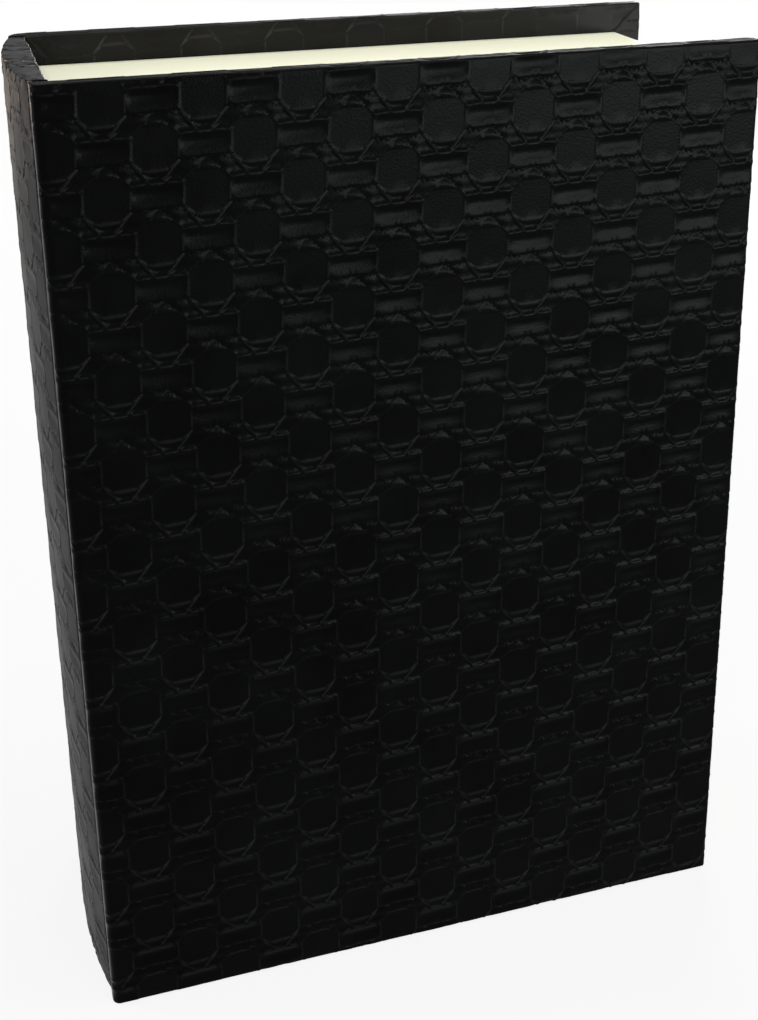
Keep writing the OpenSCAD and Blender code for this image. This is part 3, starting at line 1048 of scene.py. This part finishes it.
# the leather on the edges' roundings has a low specular and a lighter colour than the face: a painted
# highlight along the edges in place of their reflection
EDGE = leather_material("leather_edge", (.003, .003, .0027), (.007, .007, .0062),
                        (.022, .022, .02), .012, .55)
PAPER = plain_material("cream_pages", (.91, .905, .70), .5, low=.97)
FELT = felt_material()
CLOTH = cloth_material()
WOOD = plain_material("wood_board", (.42, .27, .14), .6)
CARD = plain_material("grey_card", (.27, .25, .22), .8)
NICKEL = plain_material("magnet_nickel", (.6, .6, .62), .25, metallic=1.0)

# Each rigid piece: its body, its slot, its materials and the CAD nodes that it stands for
for piece, body, slot, finishes, stands_for in (
        (front, "front_cover", "black_leather", [LEATHER, TURNED_IN, EDGE], ["front_leather"]),
        (spine, "case", "black_leather", [SPINE_LEATHER, TURNED_IN, EDGE], ["spine_leather"]),
        (back, "case", "black_leather", [LEATHER, TURNED_IN, EDGE], ["back_leather"]),
        (front_flap, "front_cover", "black_leather", [TURNED_IN], ["front_hinge_flap"]),
        (spine_flap, "case", "black_leather", [TURNED_IN], ["spine_hinge_flap"]),
        (lining, "front_cover", "lining_cloth", [CLOTH], ["front_lining"]),
        (pages, "case", "cream_pages", [PAPER], ["head_pages", "tail_pages", "fore_edge_pages"]),
        (rim, "case", "cream_pages", [PAPER], ["rim_card"]),
        (felt, "case", "black_felt", [FELT],
         ["floor_felt", "head_felt", "tail_felt", "fore_edge_felt", "spine_felt"])):
    for finish in finishes:
        piece.data.materials.append(finish)
    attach(piece, body)
    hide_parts(*stands_for)

# The hinge strip lies between the cover's inner face and the spine and joins no body
hinge.data.materials.append(LEATHER)
hinge.data.materials.append(TURNED_IN)
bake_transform(hinge)
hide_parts("hinge_leather")

# The CAD's own solids that stay
for finish, names in ((WOOD, ("front_board", "back_board", "spine_strip", "tray_floor", "head_wall",
                              "tail_wall", "fore_edge_wall", "spine_wall")),
                      (CARD, ("front_infill", "spine_infill", "back_infill")),
                      (NICKEL, ("cover_magnets", "tray_magnets"))):
    for name in names:
        nodes[name].data.materials.clear()
        nodes[name].data.materials.append(finish)


# Floor, light and camera
def seen_directly(tree):
    """1 for the rays that show the surroundings: the camera's, mirrored ones and those through glass."""
    path = node(tree, "LightPath")
    seen = path.outputs["Is Camera Ray"]
    for kind in ("Is Glossy Ray", "Is Transmission Ray"):
        seen = maths(tree, "MAXIMUM", seen, path.outputs[kind])
    return seen


def floor_material():
    m, tree, shader = material("floor_white", Base_Color=(.62, .62, .62, 1), Roughness=.9)
    # the floor turns fully white away from the object, so that no horizon shows
    away = node(tree, "VectorMath", _operation="LENGTH", i0=place_in(tree)).outputs["Value"]
    share = maths(tree, "MULTIPLY", seen_directly(tree), spread(tree, away, .35, 1.6, .87))
    white = node(tree, "Emission", Color=(1, 1, 1, 1), Strength=1.0)
    mix = node(tree, "MixShader", i0=share, i1=shader.outputs[0], i2=white.outputs[0])
    tree.links.new(mix.outputs[0], tree.nodes["Material Output"].inputs["Surface"])
    return m


def lamp(name, place, target, size, power, colour=(1, 1, 1)):
    """A rectangular lamp that shines from place to target and is not seen itself."""
    light = bpy.data.lights.new(name, "AREA")
    light.shape = "RECTANGLE"
    light.size, light.size_y = size
    light.energy = power
    light.color = colour
    obj = add_object(name, light)
    obj.location = place
    aim = Vector(target) - Vector(place)
    obj.rotation_euler = aim.to_track_quat("-Z", "Y").to_euler()
    obj.visible_camera = False


reach = 6.0
mesh = bpy.data.meshes.new("floor")
mesh.from_pydata([(-reach, -reach, 0), (reach, -reach, 0), (reach, reach, 0), (-reach, reach, 0)],
                 [], [(0, 1, 2, 3)])
floor = add_object("floor", mesh)
floor.location.z = -.0002
mesh.materials.append(floor_material())

world = bpy.data.worlds.new("studio")
scene.world = world
world.use_nodes = True
tree = world.node_tree
tree.nodes.clear()
level = spread(tree, seen_directly(tree), 0.0, 1.0, .12)
sky = node(tree, "Background", Color=(1, 1, 1, 1), Strength=level)
node(tree, "OutputWorld", Surface=sky.outputs[0])

lamp("key", (.05, -.12, .95), (0, 0, .16), (.4, .4), 4.8)
lamp("panel", (.52, -1.02, .18), (0, 0, .2), (.58, .17), 7.4, (.94, 1, 1))
lamp("left", (-.5, -.9, .5), (0, 0, .16), (.22, .22), 1.9, (1, .97, .94))
lamp("right", (.6, -.35, .25), (.05, 0, .15), (.3, .3), .4)
lamp("behind", (-.42, 1.2, .12), (-.09, 0, .2), (.4, .3), .5, (1, .7, .45))
lamp("back", (.5, 1.0, .3), (0, 0, .15), (.5, .3), 10)
lamp("back_left", (-1.0, .45, .45), (0, 0, .15), (.4, .3), 8)

# The camera was fitted to the photo's corners
camera_data = bpy.data.cameras.new("camera")
camera = add_object("camera", camera_data)
scene.camera = camera
forward = Vector((.2912, .8956, -.3364)).normalized()
right = Vector((.9505, -.3106, -.0042))
right = (right - right.dot(forward) * forward).normalized()
turn = Matrix((right, right.cross(forward), -forward)).transposed().to_4x4()
camera.matrix_world = Matrix.Translation((-.1153, -.4011, .3373)) @ turn
camera_data.sensor_width = 36
camera_data.lens = 53.8
camera_data.shift_x = -.0451
camera_data.shift_y = -.1882
camera_data.clip_start = .01

scene.view_settings.view_transform = "Standard"
